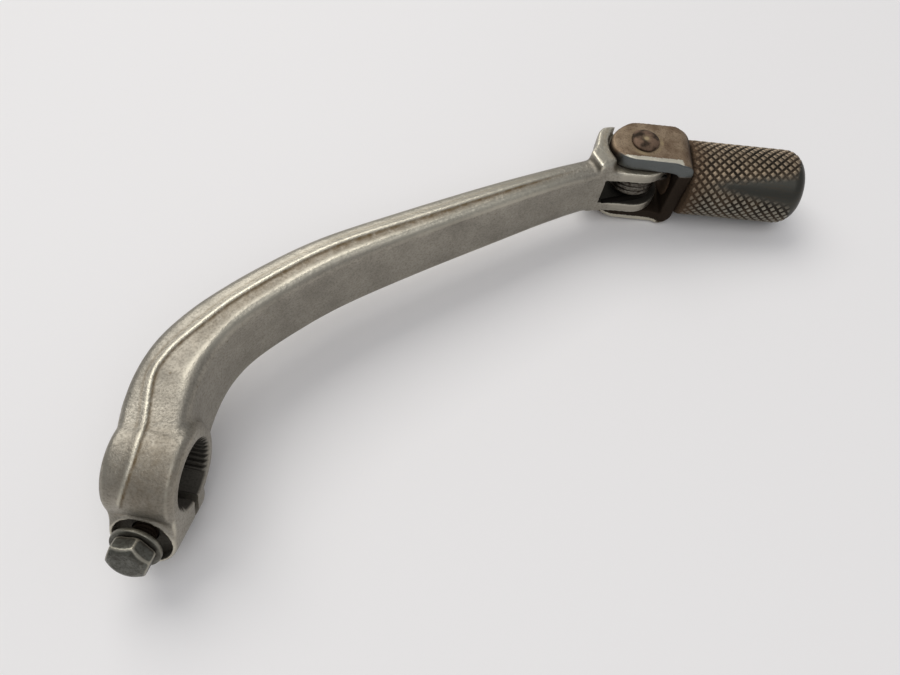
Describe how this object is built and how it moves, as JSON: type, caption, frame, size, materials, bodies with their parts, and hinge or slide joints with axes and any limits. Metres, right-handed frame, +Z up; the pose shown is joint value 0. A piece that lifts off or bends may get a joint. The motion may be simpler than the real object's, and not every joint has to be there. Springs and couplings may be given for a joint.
{
  "type": "folding gear shift lever",
  "caption": "Cranked motorcycle gear shift lever with a slotted, splined clamp boss at one end and a spring-loaded folding knurled toe peg at the other.",
  "frame": {"origin": "on the axis of the splined bore, at the middle of the clamp boss's width", "axes": "+X along the bore, out of its outboard mouth; +Y forward, the way the arm leaves the boss; +Z up, parallel to the axis that the tip folds about"},
  "size_m": [0.1393, 0.1373, 0.0294],
  "materials": {
    "forged_aluminium": "tumbled forging, oxidised and dirty, worn bright on its edges",
    "zinc_plated_steel": "dull zinc plate",
    "pressed_steel": "brown with age, polished by wear along its edges",
    "knurled_steel": "dark diamond knurl, worn smooth in a band",
    "rivet_steel": "brown, lightly rusted",
    "spring_steel": "dark drawn wire",
    "collar_steel": "dark turned steel"
  },
  "bodies": {
    "arm": {"lever_arm": "forged_aluminium", "pinch_bolt": "zinc_plated_steel", "pinch_bolt_washer": "zinc_plated_steel", "torsion_spring": "spring_steel", "spring_collar": "collar_steel"},
    "tip": {"tip_yoke": "pressed_steel", "toe_peg": "knurled_steel", "pivot_pin": "rivet_steel"}
  },
  "joints": [
    {"name": "tip_fold", "type": "hinge", "parent": "arm", "child": "tip", "pos_m": [0.087, 0.1024, 0], "axis": [0, 0, -1], "range_deg": [0, 90], "stiffness_Nm_per_rad": 0.38, "springref_deg": -28.65, "deforming": ["torsion_spring"]}
  ]
}
